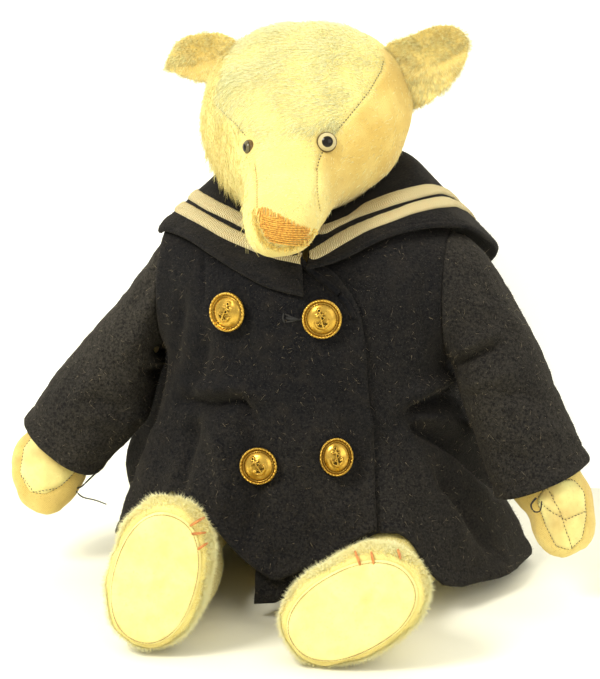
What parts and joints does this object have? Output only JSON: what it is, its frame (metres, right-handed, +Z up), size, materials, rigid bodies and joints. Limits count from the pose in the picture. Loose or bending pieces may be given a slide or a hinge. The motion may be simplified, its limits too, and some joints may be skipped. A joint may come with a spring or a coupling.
{
  "type": "teddy bear",
  "caption": "Seated antique jointed bear, worn mohair over linen, felt pads and glass eyes, in a navy wool sailor coat with brass buttons.",
  "frame": {"origin": "centre of the flat seat under the torso, on the floor", "axes": "+Z up, the bear faces -Y, its left side is +X"},
  "size_m": [0.258, 0.209, 0.2458],
  "materials": {
    "mohair": "worn mohair pile",
    "linen": "bare woven backing",
    "felt": "pale wool felt",
    "navy_wool": "fulled wool coating",
    "braid": "cream braid",
    "brass": "stamped and gilt",
    "eye_glass": "clear with a black pupil",
    "nose_thread": "satin stitch",
    "card": "pressed card",
    "steel": "plain wire"
  },
  "bodies": {
    "body": {"button_lower_left": "brass", "button_lower_right": "brass", "button_upper_left": "brass", "button_upper_right": "brass", "coat_body": "navy_wool", "collar": "navy_wool", "collar_braid_inner": "braid", "collar_braid_outer": "braid", "disc_inner_hip_left": "card", "disc_inner_hip_right": "card", "disc_inner_neck": "card", "disc_inner_shoulder_left": "card", "disc_inner_shoulder_right": "card", "torso": "linen", "washer_inner_hip_left": "steel", "washer_inner_hip_right": "steel", "washer_inner_neck": "steel", "washer_inner_shoulder_left": "steel", "washer_inner_shoulder_right": "steel"},
    "head": {"cotter_pin_neck": "steel", "disc_outer_neck": "card", "ear_left": "mohair", "ear_right": "mohair", "eye_left": "eye_glass", "eye_right": "eye_glass", "eye_wire_left": "steel", "eye_wire_right": "steel", "head": "linen", "nose": "nose_thread", "washer_outer_neck": "steel"},
    "arm_left": {"arm_left": "mohair", "cotter_pin_shoulder_left": "steel", "disc_outer_shoulder_left": "card", "paw_pad_left": "felt", "sleeve_left": "navy_wool", "washer_outer_shoulder_left": "steel"},
    "arm_right": {"arm_right": "mohair", "cotter_pin_shoulder_right": "steel", "disc_outer_shoulder_right": "card", "paw_pad_right": "felt", "sleeve_right": "navy_wool", "washer_outer_shoulder_right": "steel"},
    "leg_left": {"cotter_pin_hip_left": "steel", "disc_outer_hip_left": "card", "foot_pad_left": "felt", "leg_left": "mohair", "washer_outer_hip_left": "steel"},
    "leg_right": {"cotter_pin_hip_right": "steel", "disc_outer_hip_right": "card", "foot_pad_right": "felt", "leg_right": "mohair", "washer_outer_hip_right": "steel"}
  },
  "joints": [
    {"name": "neck_swivel", "type": "hinge", "parent": "body", "child": "head", "pos_m": [-0.00023, 0.01172, 0.17547], "axis": [-0.0722, -0.3907, 0.9177], "range_deg": [-90, 90]},
    {"name": "shoulder_left_swing", "type": "hinge", "parent": "body", "child": "arm_left", "pos_m": [0.03815, -0.008, 0.128], "axis": [1, 0, 0], "range_deg": [-35, 10]},
    {"name": "shoulder_right_swing", "type": "hinge", "parent": "body", "child": "arm_right", "pos_m": [-0.03815, -0.008, 0.128], "axis": [1, 0, 0], "range_deg": [-35, 10]},
    {"name": "hip_left_swing", "type": "hinge", "parent": "body", "child": "leg_left", "pos_m": [0.03415, -0.002, 0.03], "axis": [1, 0, 0], "range_deg": [0, 70]},
    {"name": "hip_right_swing", "type": "hinge", "parent": "body", "child": "leg_right", "pos_m": [-0.03415, -0.002, 0.03], "axis": [1, 0, 0], "range_deg": [0, 70]}
  ]
}
